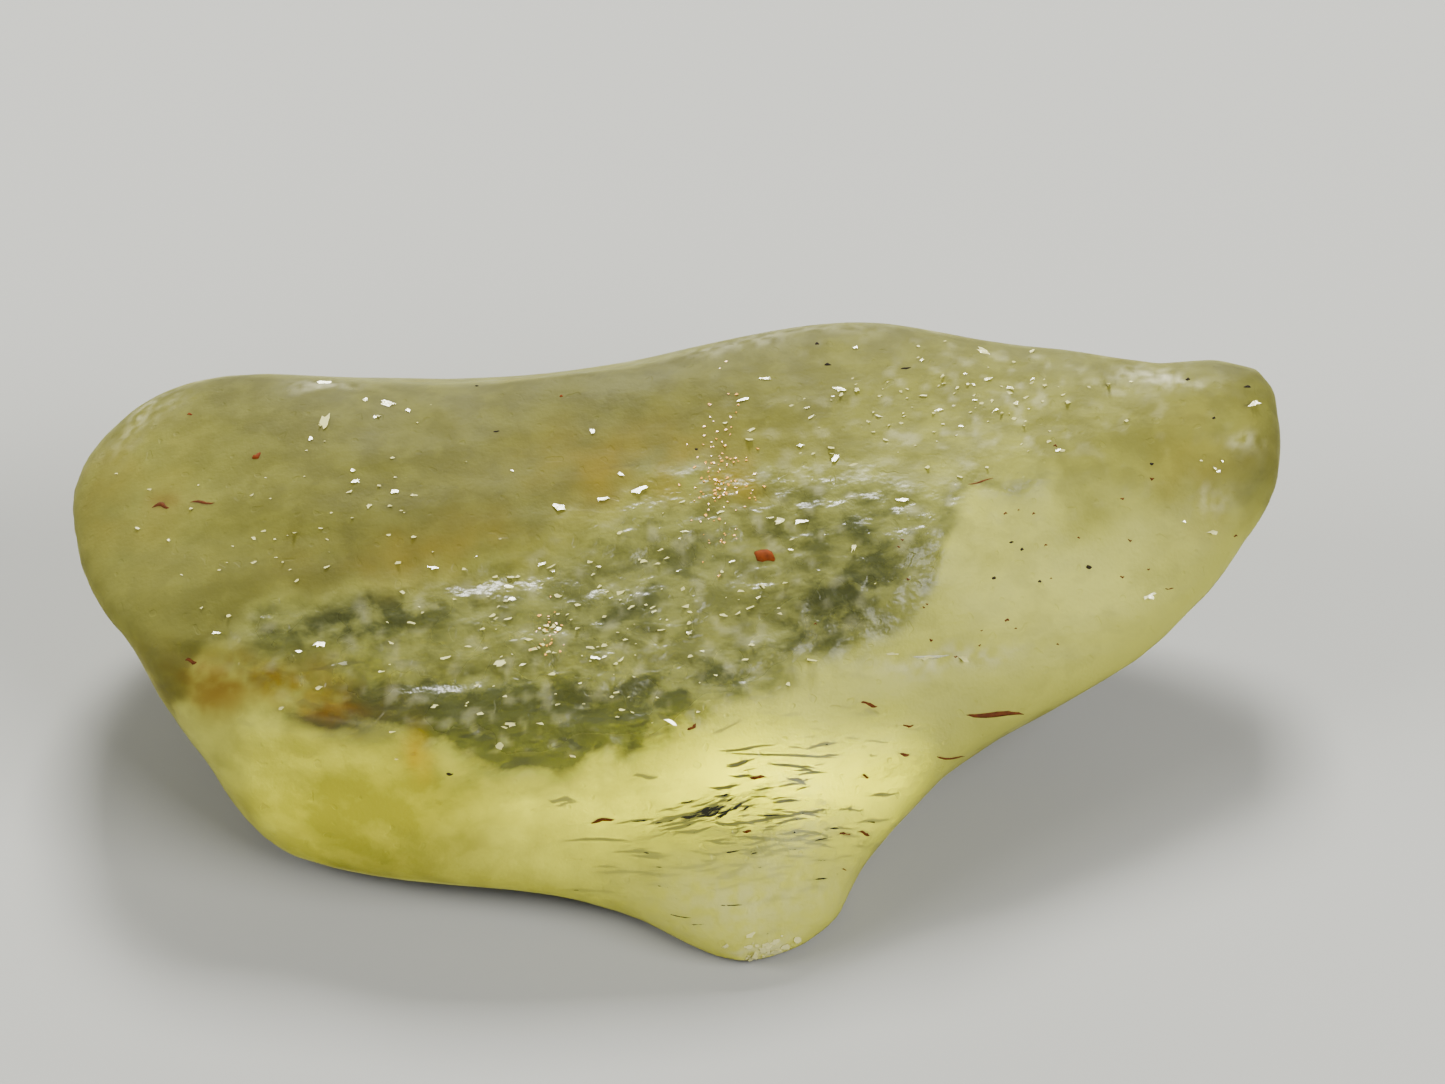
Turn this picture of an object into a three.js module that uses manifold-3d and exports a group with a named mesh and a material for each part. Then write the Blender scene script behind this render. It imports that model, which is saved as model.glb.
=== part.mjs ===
// Raw Libyan desert glass: one wind-worn lump of natural silica glass, lying on a flat, broken base.
// Millimetres, +Z up. X runs along the stone, Y across it, and the long low side faces -Y.
//
// The lump is a soft intersection of broad faces with a wall that carries its widest outline. The
// outline lies in a plane that leans back over the stone. A prow is joined to its front faces.
// Each vertex of a ball is moved along its own ray until it meets that surface.
import * as THREE from "three";
import { mergeVertices } from "three/addons/utils/BufferGeometryUtils.js";
import { ImprovedNoise } from "three/addons/math/ImprovedNoise.js";
import Module from "manifold-3d";

// ---- Driving dimensions
const LENGTH = 34.3; // along X
const LEAN = 45; // degrees between the ground and the outline plane's normal
const PLANE_HEIGHT = 5.7; // of the outline plane's middle, above the base
const HEART_DEPTH = 1.4; // how far the rays' start lies behind the outline plane
const CREASE_SOFTNESS = 0.5; // mm; faces blend over about two and a half times this
const PROW_BLEND = 0.7; // the same, where the prow runs into the lump
const BALL_SHAPE = [16, 8.5, 6]; // how the ball's vertices are spread before they are moved
const SURFACE_DETAIL = 20; // subdivisions of each of the icosahedron's 20 faces
const LONGEST_RAY = 26;
const HALVINGS = 30; // steps of the search along a ray
const LOOP_SAMPLES = 720; // turns at which the outline is looked up
const LOOP_POINTS = 20000; // enough for each of those turns to have its point
const SLANT_STEP = 0.035; // turn in radians over which the outline's slant is measured

const SWELL = { height: 0.3, across: 6.5 }; // slow undulation left by the wind
const FLUTE = { height: 0.12, across: 1.7, along: 6.0 }; // shallow grooves along the flow
const FLOW_RISE = 8; // degrees that the flow lines climb towards +X
const CUT_DEPTH = 12; // how far the block that trims the base reaches down

// The outline, anticlockwise from the right-hand tip: along X, and up the leaning plane.
const OUTLINE = [
  [17.9, 5.15],
  [17.65, 6.6],
  [16.9, 7.3],
  [15.05, 7.25],
  [11.5, 7.8],
  [8.55, 8.15],
  [5.6, 8.3],
  [2.35, 7.65],
  [-0.95, 6.85],
  [-4.45, 6.5],
  [-8.3, 6.4],
  [-12.1, 6.65],
  [-14.15, 6.1],
  [-15.8, 4.65],
  [-17.3, 2.7],
  [-16.35, 0.7],
  [-14.75, -1.2],
  [-13.35, -3.35],
  [-12.0, -5.4],
  [-10.6, -7.0],
  [-8.9, -7.5],
  [-6.3, -7.9],
  [-3.4, -8.1],
  [-0.6, -8.85],
  [1.0, -9.6],
  [2.4, -10.2],
  [4.2, -10.0],
  [5.85, -9.25],
  [5.95, -7.5],
  [7.2, -5.7],
  [9.45, -3.7],
  [11.65, -2.45],
  [15.1, -0.95],
  [17.15, 1.25],
  [18.0, 3.3],
];

// Broad faces in the stone's own axes: the way each one looks (bearing from +X towards +Y, and
// elevation, in degrees) and a point that it passes through.
const BODY_FACES = {
  crown: { bearing: -90, elevation: 80, through: [0, 0, 8.7] },
  slope: { bearing: -90, elevation: 60, through: [0, -0.1, 8.8] },
  crown_left: { bearing: -165, elevation: 66, through: [-12.4, 1.0, 8.3] },
  crown_right: { bearing: -25, elevation: 78, through: [11.0, 4.0, 9.4] },
  front_right: { bearing: -62, elevation: 38, through: [10.6, 2.0, 9.0] },
  back_left: { bearing: 96, elevation: -10, through: [-6.0, 8.2, 4.0] },
  back_right: { bearing: 85, elevation: -13, through: [6.0, 8.3, 4.0] },
  back_foot: { bearing: 92, elevation: -46, through: [-2, 7.2, 0.7] },
  left_under: { bearing: -178, elevation: -40, through: [-12.7, 0, 1.5] },
  right_under: { bearing: 8, elevation: -62, through: [10.5, 2.0, 1.5] },
  base: { bearing: 0, elevation: -90, through: [0, 0, -0.45] },
};
const FRONT_FACES = {
  front_left: { bearing: -108, elevation: 10, through: [-8.5, -5.6, 3.5] },
  front_middle: { bearing: -84, elevation: 16, through: [-3.0, -6.1, 3.5] },
};
// The prow stands out from the front faces.
const PROW_FACES = {
  prow_top: { bearing: -86, elevation: 42, through: [2.6, -8.3, 1.5] },
  prow_left: { bearing: -128, elevation: 20, through: [1.0, -8.3, 0.6] },
  prow_right: { bearing: -30, elevation: 14, through: [4.8, -7.6, 1.0] },
};

// Old chips worn smooth: middle (along X, up the leaning plane), half width and half height there,
// depth at the middle, and the side of the outline plane that they are on.
const SCARS = {
  hollow: { at: [1.5, 0.2], half: [6.5, 3.0], depth: 0.35, side: 1 },
  ledge_foot: { at: [-9.8, -2.9], half: [4.4, 1.5], depth: 0.35, side: 1 },
  front_flake: { at: [-4.2, -5.8], half: [3.0, 2.0], depth: 0.3, side: 1 },
  right_flake: { at: [10.8, 1.6], half: [3.2, 2.4], depth: 0.25, side: 1 },
  crown_flake: { at: [7.2, 5.0], half: [3.2, 2.0], depth: 0.15, side: 1 },
  back_flake: { at: [-6.0, 3.5], half: [4.5, 3.0], depth: 0.5, side: -1 },
  back_chip: { at: [6.5, 5.0], half: [3.2, 2.4], depth: 0.4, side: -1 },
  under_chip: { at: [11.5, 1.5], half: [3.4, 2.6], depth: 0.3, side: -1 },
};

const rad = THREE.MathUtils.degToRad;

const plane = {
  right: new THREE.Vector3(1, 0, 0),
  up: new THREE.Vector3(0, Math.sin(rad(LEAN)), Math.cos(rad(LEAN))),
  out: new THREE.Vector3(0, -Math.cos(rad(LEAN)), Math.sin(rad(LEAN))),
  middle: new THREE.Vector3(0, 0, PLANE_HEIGHT),
};
const heart = plane.middle.clone().addScaledVector(plane.out, -HEART_DEPTH);

function facePlane({ bearing, elevation, through }) {
  const facing = new THREE.Vector3(
    Math.cos(rad(elevation)) * Math.cos(rad(bearing)),
    Math.cos(rad(elevation)) * Math.sin(rad(bearing)),
    Math.sin(rad(elevation)),
  );
  return new THREE.Plane().setFromNormalAndCoplanarPoint(
    facing,
    new THREE.Vector3(...through),
  );
}

// The largest of several distances, with its creases rounded off.
function softLargest(distances, softness) {
  const largest = Math.max(...distances);
  let sum = 0;
  for (const distance of distances)
    sum += Math.exp((distance - largest) / softness);
  return largest + softness * Math.log(sum);
}

// The outline's distance from its middle, for evenly spaced turns about it.
function outlineRadii() {
  const corners = OUTLINE.map((point) => new THREE.Vector3(...point, 0));
  const loop = new THREE.CatmullRomCurve3(corners, true, "centripetal");
  const radii = new Float64Array(LOOP_SAMPLES);
  for (const point of loop.getPoints(LOOP_POINTS)) {
    const turn = Math.atan2(point.y, point.x);
    radii[Math.floor(samplesInto(turn))] = point.length();
  }
  return radii;
}

function samplesInto(turn) {
  const share = THREE.MathUtils.euclideanModulo(turn / (2 * Math.PI), 1);
  return (share * LOOP_SAMPLES) % LOOP_SAMPLES;
}

function radiusAt(radii, turn) {
  const samples = samplesInto(turn);
  const before = Math.floor(samples);
  const after = (before + 1) % LOOP_SAMPLES;
  return THREE.MathUtils.lerp(radii[before], radii[after], samples - before);
}

// Distance outside the wall, which stands on the outline square to its plane.
function wallDistance(radii, at) {
  const offset = at.clone().sub(plane.middle);
  const along = offset.dot(plane.right);
  const up = offset.dot(plane.up);
  const turn = Math.atan2(up, along);
  const radius = radiusAt(radii, turn);
  const wider = radiusAt(radii, turn + SLANT_STEP);
  const narrower = radiusAt(radii, turn - SLANT_STEP);
  const change = (wider - narrower) / (2 * SLANT_STEP);
  const squareness = radius / Math.hypot(radius, change);
  return (Math.hypot(along, up) - radius) * squareness;
}

function makeBody() {
  const faces = Object.values(BODY_FACES).map(facePlane);
  const front = Object.values(FRONT_FACES).map(facePlane);
  const prow = Object.values(PROW_FACES).map(facePlane);
  const radii = outlineRadii();
  return (at) => {
    const distanceTo = (face) => face.distanceToPoint(at);
    const toFront = softLargest(front.map(distanceTo), CREASE_SOFTNESS);
    const toProw = softLargest(prow.map(distanceTo), CREASE_SOFTNESS);
    const toEither = -softLargest([-toFront, -toProw], PROW_BLEND);
    const toRest = [wallDistance(radii, at), ...faces.map(distanceTo)];
    return softLargest([toEither, ...toRest], CREASE_SOFTNESS);
  };
}

// Moves each vertex of a unit ball along its ray from the heart until it meets the body.
function shapeBall(ball, distanceOutside) {
  const place = ball.getAttribute("position");
  for (let i = 0; i < place.count; i++) {
    const unit = new THREE.Vector3().fromBufferAttribute(place, i);
    const ray = new THREE.Vector3()
      .addScaledVector(plane.right, unit.x * BALL_SHAPE[0])
      .addScaledVector(plane.up, unit.y * BALL_SHAPE[1])
      .addScaledVector(plane.out, unit.z * BALL_SHAPE[2])
      .normalize();
    let inside = 0;
    let outside = LONGEST_RAY;
    for (let step = 0; step < HALVINGS; step++) {
      const half = (inside + outside) / 2;
      const at = heart.clone().addScaledVector(ray, half);
      if (distanceOutside(at) > 0) outside = half;
      else inside = half;
    }
    const at = heart.clone().addScaledVector(ray, inside);
    place.setXYZ(i, at.x, at.y, at.z);
  }
}

// How far the scars sink the skin at a point on one side of the outline plane.
function scarDepth(along, up, side) {
  let depth = 0;
  for (const scar of Object.values(SCARS)) {
    if (scar.side !== side) continue;
    const reach = Math.hypot(
      (along - scar.at[0]) / scar.half[0],
      (up - scar.at[1]) / scar.half[1],
    );
    if (reach < 1) depth += scar.depth * (1 - reach ** 2) ** 2;
  }
  return depth;
}

// Chips and weathering move the skin along its own normal.
function weather(body) {
  body.computeVertexNormals();
  const noise = new ImprovedNoise();
  const place = body.getAttribute("position");
  const normal = body.getAttribute("normal");
  const flow = new THREE.Vector3(
    Math.cos(rad(FLOW_RISE)),
    0,
    Math.sin(rad(FLOW_RISE)),
  );
  for (let i = 0; i < place.count; i++) {
    const at = new THREE.Vector3().fromBufferAttribute(place, i);
    const facing = new THREE.Vector3().fromBufferAttribute(normal, i);
    const swell = noise.noise(
      at.x / SWELL.across,
      at.y / SWELL.across,
      at.z / SWELL.across,
    );
    const downflow = at.dot(flow);
    const across = at.clone().addScaledVector(flow, -downflow);
    const flute = noise.noise(
      downflow / FLUTE.along,
      across.y / FLUTE.across,
      across.z / FLUTE.across,
    );
    const offset = at.clone().sub(plane.middle);
    const scars = scarDepth(
      offset.dot(plane.right),
      offset.dot(plane.up),
      Math.sign(facing.dot(plane.out)),
    );
    const rise = SWELL.height * swell + FLUTE.height * flute - scars;
    at.addScaledVector(facing, rise);
    place.setXYZ(i, at.x, at.y, at.z);
  }
}

// Makes the body as long as it should be, and puts its middle over the origin.
function fitToLength(body) {
  body.computeBoundingBox();
  const { min, max } = body.boundingBox;
  const scale = LENGTH / (max.x - min.x);
  body.translate(-(min.x + max.x) / 2, -(min.y + max.y) / 2, 0);
  body.scale(scale, scale, scale);
}

// A ball with shared vertices, which is what the joins and cuts need.
function ballMesh() {
  const ball = new THREE.IcosahedronGeometry(1, SURFACE_DETAIL);
  ball.deleteAttribute("normal");
  ball.deleteAttribute("uv");
  return mergeVertices(ball, 1e-5);
}

function toSolid(wasm, geometry) {
  return new wasm.Manifold(
    new wasm.Mesh({
      numProp: 3,
      vertProperties: new Float32Array(geometry.getAttribute("position").array),
      triVerts: new Uint32Array(geometry.index.array),
    }),
  );
}

function toGeometry(solid) {
  const mesh = solid.getMesh();
  return new THREE.BufferGeometry()
    .setAttribute(
      "position",
      new THREE.BufferAttribute(mesh.vertProperties, mesh.numProp),
    )
    .setIndex(new THREE.BufferAttribute(mesh.triVerts, 1));
}

// The block under the ground plane, which the base is broken off along.
function groundBlock() {
  const side = 2 * LENGTH;
  const block = new THREE.BoxGeometry(side, side, CUT_DEPTH);
  block.translate(0, 0, -CUT_DEPTH / 2);
  block.deleteAttribute("normal");
  block.deleteAttribute("uv");
  return mergeVertices(block);
}

const wasm = await Module();
wasm.setup();

const body = ballMesh();
shapeBall(body, makeBody());
weather(body);
fitToLength(body);
const stone = toSolid(wasm, body).subtract(toSolid(wasm, groundBlock()));
const geometry = toGeometry(stone);
geometry.computeVertexNormals();

const glass = new THREE.MeshStandardMaterial({
  color: 0xc9c487,
  roughness: 0.35,
  metalness: 0,
});
const desertGlass = new THREE.Mesh(geometry, glass);
desertGlass.name = "desert_glass";

const group = new THREE.Group();
group.add(desertGlass);
export default group;
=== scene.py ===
"""Raw Libyan desert glass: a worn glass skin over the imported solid, and what lies inside it."""

import logging
import math
import random
from dataclasses import dataclass, field
from enum import Enum, auto
from typing import Any

import bmesh
import bpy
import numpy as np
from mathutils import Matrix, Vector, noise
from mathutils.bvhtree import BVHTree

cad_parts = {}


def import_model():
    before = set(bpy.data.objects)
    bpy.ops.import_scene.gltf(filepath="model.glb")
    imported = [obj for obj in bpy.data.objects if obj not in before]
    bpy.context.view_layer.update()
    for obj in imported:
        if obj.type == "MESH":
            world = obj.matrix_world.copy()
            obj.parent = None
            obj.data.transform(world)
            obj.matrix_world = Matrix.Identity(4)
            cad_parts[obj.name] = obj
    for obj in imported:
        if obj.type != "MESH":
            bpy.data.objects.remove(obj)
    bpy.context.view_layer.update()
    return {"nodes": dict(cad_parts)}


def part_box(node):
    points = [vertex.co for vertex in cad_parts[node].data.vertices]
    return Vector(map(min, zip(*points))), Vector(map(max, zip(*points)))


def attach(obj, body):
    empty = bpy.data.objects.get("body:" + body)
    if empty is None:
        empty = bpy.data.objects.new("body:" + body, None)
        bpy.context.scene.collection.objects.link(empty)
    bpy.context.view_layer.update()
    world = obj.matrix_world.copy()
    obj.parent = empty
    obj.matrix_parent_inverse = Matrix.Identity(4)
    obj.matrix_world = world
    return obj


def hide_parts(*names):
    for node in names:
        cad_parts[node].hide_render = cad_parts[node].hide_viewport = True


Array = np.ndarray
Pair = tuple[float, float]
Triple = tuple[float, float, float]
Socket = bpy.types.NodeSocket
LOG = logging.getLogger("desert_glass")
MM = 0.001  # one millimetre in the scene's metres
SEED = 29
SILICA_IOR = 1.46
EDGE = 3.0  # how sharply a soft edge turns over within its softness
FAINT = 0.05  # cover below which the relief is left out
MARK_LIMIT = 1.6  # the most that a mark may reach
CLOUDY = {"Detail": 4.0, "Roughness": 0.55, "Distortion": 0.3}  # noise as clouds


def linear(code: str) -> tuple[float, float, float, float]:
    """Turns an sRGB hex code into a linear colour.

    Args:
        code: Six hex digits, such as "EDEA97".

    Returns:
        Linear red, green and blue, and an alpha of 1.
    """
    parts = [int(code[i : i + 2], 16) / 255 for i in (0, 2, 4)]
    red, green, blue = (
        p / 12.92 if p <= 0.04045 else ((p + 0.055) / 1.055) ** 2.4 for p in parts
    )
    return red, green, blue, 1.0


def add_node(
    tree: bpy.types.NodeTree,
    kind: str,
    settings: dict[str, Any] | None = None,
    **inputs: Any,
) -> bpy.types.Node:
    """Adds a shader node with its settings and its inputs.

    Args:
        tree: The node tree to add to.
        kind: The node's type, without the "ShaderNode" in front.
        settings: Attributes of the node itself.
        **inputs: Socket names, with _ for a space, or i0, i1 for a socket by its number, each
            with a value or with the output socket that feeds it.

    Returns:
        The new node.
    """
    made = tree.nodes.new("ShaderNode" + kind)
    for name, value in (settings or {}).items():
        setattr(made, name, value)
    for name, value in inputs.items():
        numbered = name[0] == "i" and name[1:].isdigit()
        socket = made.inputs[int(name[1:]) if numbered else name.replace("_", " ")]
        if isinstance(value, bpy.types.NodeSocket):
            tree.links.new(value, socket)
        else:
            socket.default_value = value
    return made


def mottled(place: Socket, size: float, **inputs: Any) -> Socket:
    """Adds noise whose grains are size millimetres apart, read at a place in metres."""
    scale = 1 / (size * MM)
    return add_node(place.id_data, "TexNoise", Vector=place, Scale=scale, **inputs).outputs["Fac"]


def mixed(factor: Socket, start: Any, end: Any) -> Socket:
    """Mixes two numbers by a factor, or a colour and a hex colour.

    Args:
        factor: How much of the end there is.
        start: A number, a hex colour or a socket.
        end: A number, a hex colour or, among numbers, a socket.

    Returns:
        The mixture.
    """
    tree = factor.id_data
    if not isinstance(end, str):
        return add_node(tree, "Mix", Factor=factor, i2=start, i3=end).outputs[0]
    ends = {"i6": linear(start) if isinstance(start, str) else start, "i7": linear(end)}
    return add_node(tree, "Mix", {"data_type": "RGBA"}, Factor=factor, **ends).outputs[2]


def ramped(value: Socket, start: float, end: float) -> Socket:
    """Turns a value between start and end smoothly into one between 0 and 1."""
    smooth = {"interpolation_type": "SMOOTHSTEP"}
    inputs = {"Value": value, "From_Min": start, "From_Max": end}
    return add_node(value.id_data, "MapRange", smooth, **inputs).outputs[0]


def worked(operation: str, first: Socket, second: Any, third: Any = 0.0) -> Socket:
    """Does one sum on two or three values."""
    inputs = {"i0": first, "i1": second, "i2": third}
    return add_node(first.id_data, "Math", {"operation": operation}, **inputs).outputs[0]


def bumped(height: Socket, depth: float, strength: float = 1.0) -> Socket:
    """Turns a height from 0 to 1 into relief so many millimetres deep."""
    inputs = {"Height": height, "Strength": strength, "Distance": depth * MM}
    return add_node(height.id_data, "Bump", **inputs).outputs["Normal"]


def placed(name: str, data: bpy.types.ID) -> bpy.types.Object:
    """Puts an object in the scene.

    Args:
        name: The object's name.
        data: Its mesh, light or camera.

    Returns:
        The object.
    """
    made = bpy.data.objects.new(name, data)
    bpy.context.scene.collection.objects.link(made)
    return made


class Slot(Enum):
    """The record's material slots."""

    GLASS = "silica_glass"
    RUST = "iron_stain"
    DARK = "dark_streak"
    PALE = "pale_speck"


class Mark(Enum):
    """Marks that the skin carries for its finish to read, from 0 up."""

    STAIN = "stain"  # ochre, soaked into the skin
    RUST = "rust"  # thick brown iron stain
    HAZE = "haze"  # bruised by blown sand, so that it scatters light
    FROST = "frost"  # rougher
    KHAKI = "khaki"  # darker, with dust in the frosting
    CLEAR = "clear"  # polished by fine dust
    CRINKLE = "crinkle"  # small overlapping cups
    BLOOM = "bruises_and_sheen"  # white bruises, and painted sheen along the top rim and at the upper left corner
    SMOKE = "painted_shade"  # painted shade: darkens the clear band, as the shadow under the stone seen through it does


class Zone(Enum):
    """Parts of the skin that have worn in their own way."""

    BAND = auto()  # crumpled, clearer glass along the middle of the front
    ABOVE = auto()  # dusty frosting over the band
    LOBES = auto()  # satin lower front
    BEHIND = auto()  # back and sides
    UNDERNEATH = auto()  # flat old break that the stone rests on
    SEEN_BASE = auto()  # the back part of it, which shows through the front
    RIGHT_TOP = auto()  # bruised and crinkled top right
    LEFT_END = auto()  # cleaner, rounded left end
    RIGHT_LOBE = auto()  # milky lower right
    GLOW = auto()  # thin, clear glass in the prow, which passes the light from behind
    TIP = auto()  # the prow's foot
    DARKER_LOWER_LEFT = auto()  # lower left, darker and hazier


# How much each zone adds to each mark.
ZONE_MARKS: dict[Mark, dict[Zone, float]] = {
    # painted shade over the whole band
    Mark.SMOKE: {Zone.BAND: 0.53},
    Mark.CLEAR: {Zone.BAND: 0.8, Zone.GLOW: 0.65, Zone.UNDERNEATH: 1.0},
    Mark.CRINKLE: {Zone.BAND: 1.0, Zone.RIGHT_TOP: 1.0, Zone.GLOW: 0.4, Zone.SEEN_BASE: 0.8},
    Mark.KHAKI: {
        Zone.ABOVE: 1.0, Zone.RIGHT_TOP: -0.5, Zone.LEFT_END: -1.0, Zone.DARKER_LOWER_LEFT: 1.0,
        Zone.BEHIND: 0.45, Zone.RIGHT_LOBE: 0.2,
    },
    Mark.FROST: {Zone.ABOVE: 0.8, Zone.LOBES: 0.5, Zone.BEHIND: 0.25, Zone.GLOW: -0.5},
    Mark.HAZE: {
        Zone.ABOVE: 0.42, Zone.LOBES: 0.58, Zone.RIGHT_LOBE: 0.3, Zone.GLOW: -0.42,
        Zone.TIP: 0.3, Zone.DARKER_LOWER_LEFT: 0.7, Zone.BAND: 0.06, Zone.BEHIND: 0.48,
    },
}
BRUISED = {Zone.BAND: 0.18, Zone.RIGHT_TOP: 0.6}  # share of small white bruises
# How much the clouds in the glass make a mark uneven.
UNEVEN = {Mark.KHAKI: 0.35, Mark.FROST: 0.3, Mark.HAZE: 0.15}


@dataclass(frozen=True)
class OutlinePlane:
    """The plane of the stone's widest outline, which leans back over the base.

    Marks are placed by how far they lie along it and up it, from the outline's middle.
    """

    middle: Triple = (-0.75, -0.32, 5.7)  # mm
    lean: float = 45.0  # degrees between the ground and the plane's normal

    @property
    def right(self) -> Vector:
        """The way that runs along the stone."""
        return Vector((1, 0, 0))

    @property
    def up(self) -> Vector:
        """The way that climbs the plane."""
        angle = math.radians(self.lean)
        return Vector((0, math.sin(angle), math.cos(angle)))

    @property
    def out(self) -> Vector:
        """The way out of the plane, up and to the front."""
        angle = math.radians(self.lean)
        return Vector((0, -math.cos(angle), math.sin(angle)))

    def place(self, along: float, up: float, out: float = 0.0) -> Vector:
        """Gives a point in the stone's own axes, all in millimetres."""
        return Vector(self.middle) + self.right * along + self.up * up + self.out * out

    def flow(self, rise: float = 7.0) -> Vector:
        """Gives the way that the streaks in the glass run, which climbs a little to the right."""
        angle = math.radians(rise)
        return self.right * math.cos(angle) + self.up * math.sin(angle)


PLANE = OutlinePlane()


def drawn_out(points: Array, length: float, width: float) -> Array:
    """Finds where to read a pattern of size 1 so that it is drawn out along the flow.

    Args:
        points: Points in millimetres.
        length: The pattern's size along the flow, in millimetres.
        width: Its size across the flow.

    Returns:
        The place in the pattern of every point.
    """
    flow = np.array(PLANE.flow())
    downflow = points @ flow
    across = points - downflow[:, None] * flow
    return across / width + (downflow / length)[:, None] * flow


def rolling(points: Array, size: float = 1.0, shift: Triple = (0, 0, 0)) -> Array:
    """Reads smooth noise of one size, in millimetres, at every point, from about -1 to 1."""
    return np.array([noise.noise(Vector(p) / size + Vector(shift)) for p in points])


@dataclass(frozen=True)
class Islands:
    """Islands in a noise: gain steepens their shores, and cut makes them fewer."""

    gain: float
    cut: float
    height: float = 1.0

    def seen(self, values: Array) -> Array:
        """Gives the islands' height at each point of the noise."""
        return np.clip(values * self.gain - self.cut, 0, 1) * self.height


@dataclass(frozen=True)
class Patch:
    """A soft-edged patch on the front of the stone, in millimetres on the outline plane."""

    along: float
    up: float
    half_width: float
    half_height: float
    strength: float = 1.0
    rise: float = 7.0

    def cover(self, along: Array, up: Array) -> Array:
        """Gives how strongly the patch covers each point.

        Args:
            along: Each point's place along the stone.
            up: Each point's place up the plane.

        Returns:
            Cover from 0 to the patch's strength.
        """
        angle = math.radians(self.rise)
        across = along - self.along
        climb = up - self.up
        near = (across * math.cos(angle) + climb * math.sin(angle)) / self.half_width
        side = (climb * math.cos(angle) - across * math.sin(angle)) / self.half_height
        return self.strength * np.exp(-(near**2 + side**2))


def patches(*places: tuple[float, ...]) -> tuple[Patch, ...]:
    """Makes patches, each from its numbers in a Patch's order."""
    return tuple(Patch(*place) for place in places)


@dataclass(frozen=True)
class Band:
    """The zone between two edges that run along the stone, each given by its bends."""

    top: tuple[Pair, ...]
    bottom: tuple[Pair, ...]
    softness: float = 0.5  # mm
    blur_from: Pair = (4.0, 9.0)  # mm along, where the top edge grows softer
    blur: Pair = (1.0, 3.0)  # how many times softer at each of them

    def cover(self, along: Array, up: Array) -> Array:
        """Finds what lies in the band.

        Args:
            along: Each point's place along the stone.
            up: Each point's place up the plane.

        Returns:
            1 in the band, 0 away from it and values between near its edges.
        """
        high = np.interp(along, *zip(*self.top))
        low = np.interp(along, *zip(*self.bottom))
        inside = np.minimum(high - up, up - low)
        return 1 / (1 + np.exp(-inside / self.softness * EDGE))

    def above(self, along: Array, up: Array) -> Array:
        """Finds what lies above the band.

        Args:
            along: Each point's place along the stone.
            up: Each point's place up the plane.

        Returns:
            1 above the top edge and 0 below it, softer towards the right.
        """
        high = np.interp(along, *zip(*self.top))
        softness = self.softness * np.interp(along, self.blur_from, self.blur)
        return 1 / (1 + np.exp(-(up - high) / softness * EDGE))


# The crumpled, clearer glass that runs along the middle of the front.
MIDDLE_BAND = Band(
    top=(
        (-13.2, -3.4), (-11.6, -1), (-10.4, 0.3), (-5.9, 1.1), (-2.5, 2), (-0.8, 3.1), (0.3, 3.6),
        (3.1, 4.1), (5.9, 3.9), (7.8, 3.2), (10.6, 3.9), (11.6, 3),
    ),
    bottom=(
        (-13.2, -0.6), (-11.6, -1.2), (-10.4, -2.2), (-5.9, -3.6), (-3.6, -4.5), (-0.8, -4.1),
        (1.4, -3.1), (3.1, -2.2), (5.6, -1.1), (7, 0), (7.8, 1.7), (8.7, 3.1), (11.6, 3.9),
    ),
)
# Where stains, white bruises, painted sheen and painted shade lie, and the dents, in millimetres.
MARK_PATCHES: dict[Mark, tuple[Patch, ...]] = {
    Mark.STAIN: patches(
        (-0.9, 4.2, 2.6, 1.1, 1), (1.9, 3.8, 0.7, 1.5, 0.9, 90), (-6.2, 1.7, 3.2, 0.9, 0.7),
        (-14.6, 3.2, 1.8, 2, 0.5), (-13.3, -1.9, 1.5, 1, 0.6), (-6.3, -3.9, 0.4, 0.8, 0.8, 0),
        (15.6, 3.8, 1.6, 1.6, 0.45),
    ),
    Mark.RUST: patches(
        (-10.6, -1.9, 2.4, 0.5, 0.7, -4), (-12, -2.5, 0.9, 0.6, 0.6),
        (-8.9, -2.7, 1.2, 0.28, 0.6, -6), (-9.1, -3.1, 1, 0.3, 0.2, -5),
        (-6.3, -3.8, 0.3, 0.55, 0.5, 0), (-13.6, 3, 0.9, 0.25, 0.45, 0),
    ),
    # Painted shade: the band darkened where the shadow under the stone shows through, and the
    # shade in the dent at the lower left
    Mark.SMOKE: patches(
        (-8, -0.2, 3.2, 1, 0.58), (-5.8, -2.6, 3.4, 0.9, 0.6, 2), (-3.9, -3.6, 2.5, 1.2, 0.8, -6),
        (-1, -3, 2.6, 1.2, 0.7, 12), (-7, -2.6, 1.6, 0.6, 0.8), (-9.1, -3.1, 1.1, 0.3, 1.3, -5),
        (0.5, 2.2, 2.6, 1.6, 0.3), (-1.2, -0.1, 3.6, 1.4, 0.35), (5.2, 2.6, 2.8, 1.2, 0.35),
        (5.6, 0.6, 2.6, 1.4, 0.45, 25), (3, -1.6, 3, 1, 0.35, 16), (8.6, 4.9, 4.5, 1.8, 0.3),
    ),
    # Those high on the top rim, at up 6.35 to 7.6, and the one at the upper left corner are
    # painted sheen where the rim catches the light; the others are white bruises
    Mark.BLOOM: patches(
        (3.1, -9.4, 0.9, 0.25, 0.9, 12), (2.6, -7.9, 2.4, 1.1, 0.3), (8.2, -1.3, 2, 0.35, 0.5, 4),
        (-14.3, 5.4, 1.4, 0.3, 0.5, 40), (-9.2, 6.35, 1, 0.15, 0.6, 0),
        (14.3, 6.5, 1.4, 0.3, 0.75, 0), (2.6, 7.6, 4.5, 0.25, 0.4, 10),
        (16.6, 4.6, 0.5, 0.25, 0.5, 0), (15.9, 3, 0.5, 0.35, 0.5, 0),
    ),
}
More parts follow.
